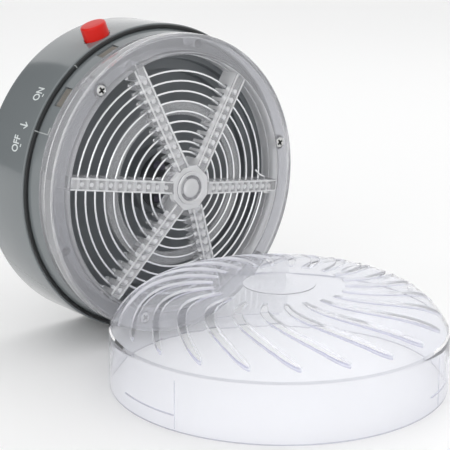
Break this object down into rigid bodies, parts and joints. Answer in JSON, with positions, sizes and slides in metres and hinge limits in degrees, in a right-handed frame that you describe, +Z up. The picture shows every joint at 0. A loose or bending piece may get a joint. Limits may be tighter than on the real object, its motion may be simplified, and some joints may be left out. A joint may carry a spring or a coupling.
{
  "type": "electric insect zapper with lift-off cover",
  "caption": "Round grey insect zapper with a spiral wire grid under a six-spoke clear frame, red push button, and its clear slotted cover lying in front.",
  "frame": {"origin": "centre of the footprint of the unit and its cover, on the floor", "axes": "+Z up, -Y is the way the grid faces, +X to the right as seen from the front"},
  "size_m": [0.1634, 0.2178, 0.1627],
  "materials": {
    "grey_plastic": "satin",
    "dark_plastic": "satin",
    "black_rubber": "matt",
    "clear_plastic": "clear gloss",
    "red_plastic": "gloss",
    "steel": "bright",
    "brass": "bright",
    "board_green": "satin",
    "cell_blue": "gloss",
    "ferrite_black": "matt",
    "blue_coat": "satin",
    "lamp_violet": "clear gloss",
    "white_plastic": "satin"
  },
  "bodies": {
    "unit": {"grid_wire_a": "steel", "grid_wire_b": "steel", "clear_frame": "clear_plastic", "housing": "grey_plastic", "seal_ring": "black_rubber", "reflector_base": "dark_plastic", "lamp_board": "board_green", "grid_terminal_a": "brass", "grid_terminal_b": "brass", "main_board": "board_green", "hv_transformer": "ferrite_black", "charge_socket": "steel", "cell_cradle": "dark_plastic", "battery_cell": "cell_blue", "back_cover": "grey_plastic", "push_switch": "ferrite_black", "frame_screw_1": "steel", "back_screw_1": "steel", "hv_capacitor_1": "blue_coat", "frame_screw_2": "steel", "back_screw_2": "steel", "hv_capacitor_2": "blue_coat", "frame_screw_3": "steel", "back_screw_3": "steel", "hv_capacitor_3": "blue_coat", "board_screw_1": "steel", "board_screw_2": "steel", "board_screw_3": "steel", "board_screw_4": "steel", "uv_lamp_1": "lamp_violet", "uv_lamp_2": "lamp_violet", "uv_lamp_3": "lamp_violet", "uv_lamp_4": "lamp_violet", "uv_lamp_5": "lamp_violet", "uv_lamp_6": "lamp_violet"},
    "button": {"push_button": "red_plastic", "switch_plunger": "white_plastic"},
    "cover": {"slotted_cover": "clear_plastic"}
  },
  "joints": [
    {"name": "button_press", "type": "slide", "parent": "unit", "child": "button", "axis": [0.3584, 0, -0.9336], "range_m": [0, 0.0022], "stiffness_N_per_m": 400, "springref_m": -0.001},
    {"name": "cover_lift", "type": "slide", "parent": "unit", "child": "cover", "axis": [0, -0.342, 0.9397], "range_m": [0, 0.18]}
  ]
}
